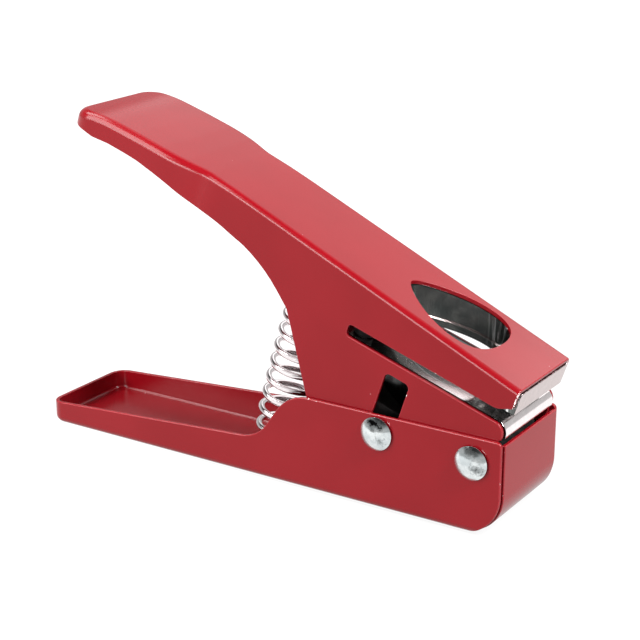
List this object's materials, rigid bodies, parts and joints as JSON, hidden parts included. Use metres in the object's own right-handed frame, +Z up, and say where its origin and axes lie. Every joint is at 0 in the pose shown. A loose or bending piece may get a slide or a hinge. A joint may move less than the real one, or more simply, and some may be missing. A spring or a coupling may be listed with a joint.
{
  "type": "guitar pick punch",
  "caption": "Hand press punch for guitar picks: red sheet-steel base tray, sprung lever handle, card slit, pick-shaped die window and a steel punch driven by a cross rivet.",
  "frame": {"origin": "middle of the base tray's underside, on the surface the punch stands on", "axes": "+X to the jaw end with the card slit, +Y to the far side, +Z up"},
  "size_m": [0.1686, 0.0408, 0.1061],
  "materials": {
    "red_powder_coat": "satin powder coat",
    "zinc_steel": "bright zinc plate",
    "ground_steel": "ground and hardened",
    "polished_steel": "polished",
    "spring_wire": "bright nickel plate"
  },
  "bodies": {
    "base": {"base_tray": "red_powder_coat", "pivot_rivet": "zinc_steel", "pivot_sleeve": "ground_steel", "drive_rivet": "zinc_steel", "drive_sleeve": "ground_steel", "lower_spring_cup": "zinc_steel", "return_spring": "spring_wire"},
    "handle": {"handle_lever": "red_powder_coat", "upper_die": "ground_steel", "guide_plate": "polished_steel", "die_spacer_near": "polished_steel", "die_spacer_far": "polished_steel", "die_screw_near": "zinc_steel", "die_screw_far": "zinc_steel", "upper_spring_bracket": "zinc_steel"},
    "punch": {"punch_blade": "polished_steel", "punch_carrier": "ground_steel", "carrier_screw_front": "zinc_steel", "carrier_screw_rear": "zinc_steel"}
  },
  "joints": [
    {"name": "handle_pivot", "type": "hinge", "parent": "base", "child": "handle", "pos_m": [0.0732, 0, 0.0218], "axis": [0, -1, 0], "range_deg": [0, 18.5], "stiffness_Nm_per_rad": 10.4, "springref_deg": -6.13, "deforming": ["return_spring"]},
    {"name": "punch_slide", "type": "slide", "parent": "handle", "child": "punch", "axis": [0.3173, 0, 0.9483], "range_m": [0, 0.0099]}
  ],
  "couplings": [
    {"joint": "punch_slide", "follows": "handle_pivot", "m_per_rad": 0.03037}
  ]
}
